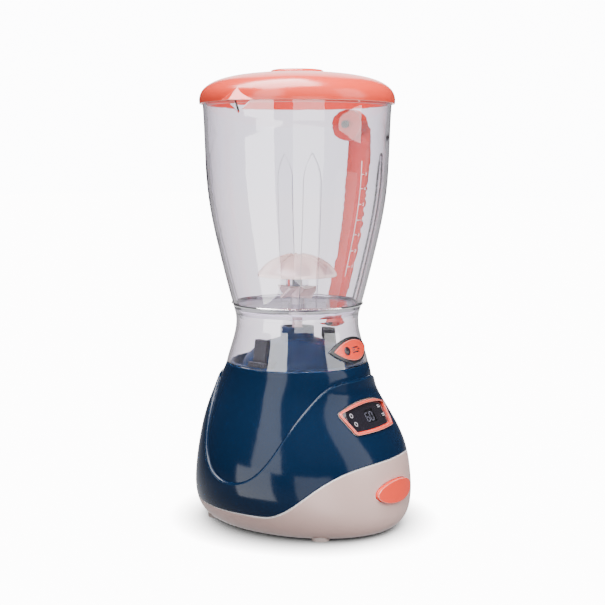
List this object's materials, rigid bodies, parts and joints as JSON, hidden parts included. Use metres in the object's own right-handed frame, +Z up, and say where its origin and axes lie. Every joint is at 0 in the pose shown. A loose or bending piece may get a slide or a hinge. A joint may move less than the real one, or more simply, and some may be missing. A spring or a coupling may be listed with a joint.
{
  "type": "toy blender",
  "caption": "Battery-driven toy blender: base with a start button and display, motor-driven play blades, and a clear lift-off jug with a handle, a spout and a lift-off lid.",
  "frame": {"origin": "on the drive axis, at the height where the feet stand", "axes": "+Z up along the drive axis, -Y the front with the display and the start button, +X the handle, -X the pouring spout"},
  "size_m": [0.1575, 0.1451, 0.2906],
  "materials": {
    "beige_abs": "satin moulded ABS",
    "navy_abs": "high-gloss moulded ABS",
    "black_plastic": "fine-grained moulded plastic",
    "foot_rubber": "matte moulded rubber",
    "clear_silicone": "translucent moulded silicone",
    "zinc_steel": "zinc-plated steel",
    "cell_jacket": "printed shrink film on a steel can",
    "cream_plastic": "satin moulded ABS",
    "coral_plastic": "glossy moulded ABS",
    "smoked_window": "polished smoked acrylic",
    "screen_glass": "polished screen",
    "board_green": "fibreglass board with solder mask",
    "led_plastic": "diffused LED resin",
    "component_black": "moulded component bodies",
    "motor_steel": "drawn steel can",
    "white_acetal": "natural acetal",
    "bright_steel": "ground steel shaft",
    "wire_jacket": "soft PVC insulation",
    "clear_plastic": "polished clear styrene"
  },
  "bodies": {
    "base": {"lower_housing": "beige_abs", "upper_housing": "navy_abs", "drive_dome": "navy_abs", "jug_catches": "black_plastic", "lock_pads": "black_plastic", "feet": "foot_rubber", "housing_screws": "zinc_steel", "battery_door": "beige_abs", "battery_door_screw": "zinc_steel", "battery_cells": "cell_jacket", "battery_contacts": "zinc_steel", "display_lip": "cream_plastic", "display_bezel": "coral_plastic", "display_window": "smoked_window", "display_screen": "screen_glass", "display_board": "board_green", "indicator_lights": "led_plastic", "start_switch": "component_black", "switch_board": "board_green", "button_spring": "zinc_steel", "motor_can": "motor_steel", "motor_end_cap": "component_black", "gearbox_lower_plate": "white_acetal", "gearbox_upper_plate": "white_acetal", "gearbox_screws": "zinc_steel", "main_board": "board_green", "board_parts": "component_black", "speaker": "component_black", "lead_wires": "wire_jacket"},
    "button": {"start_button": "coral_plastic"},
    "motor_rotor": {"motor_shaft": "bright_steel", "motor_pinion": "white_acetal"},
    "drive_output": {"output_gear": "white_acetal", "drive_shaft": "bright_steel", "drive_coupling": "black_plastic"},
    "jug": {"jug_body": "clear_plastic", "jug_collar": "clear_plastic", "floor_seal": "clear_silicone", "shaft_bush": "white_acetal", "handle": "coral_plastic", "handle_screws": "zinc_steel", "badge_bezel": "black_plastic", "badge_plate": "coral_plastic"},
    "blades": {"blade_shaft": "bright_steel", "jug_coupling": "beige_abs", "lower_blades": "beige_abs", "blade_hub": "clear_plastic", "impeller_cap": "beige_abs"},
    "lid": {"lid": "coral_plastic", "lid_cap": "coral_plastic"}
  },
  "joints": [
    {"name": "start_button_press", "type": "slide", "parent": "base", "child": "button", "axis": [0, 1, 0], "range_m": [0, 0.0016], "stiffness_N_per_m": 400, "springref_m": -0.0015, "deforming": ["button_spring"]},
    {"name": "output_spin", "type": "hinge", "parent": "base", "child": "drive_output", "pos_m": [0, 0, 0], "axis": [0, 0, 1], "continuous": true},
    {"name": "motor_shaft_spin", "type": "hinge", "parent": "base", "child": "motor_rotor", "pos_m": [0, 0.0195, 0], "axis": [0, 0, 1], "continuous": true},
    {"name": "jug_lift", "type": "slide", "parent": "base", "child": "jug", "axis": [0, 0, 1], "range_m": [0, 0.03]},
    {"name": "blade_spin", "type": "hinge", "parent": "jug", "child": "blades", "pos_m": [0, 0, 0], "axis": [0, 0, 1], "continuous": true},
    {"name": "lid_lift", "type": "slide", "parent": "jug", "child": "lid", "axis": [0, 0, 1], "range_m": [0, 0.04]}
  ],
  "couplings": [
    {"joint": "motor_shaft_spin", "follows": "output_spin", "ratio": -3.3333},
    {"joint": "blade_spin", "follows": "output_spin", "ratio": 1}
  ]
}
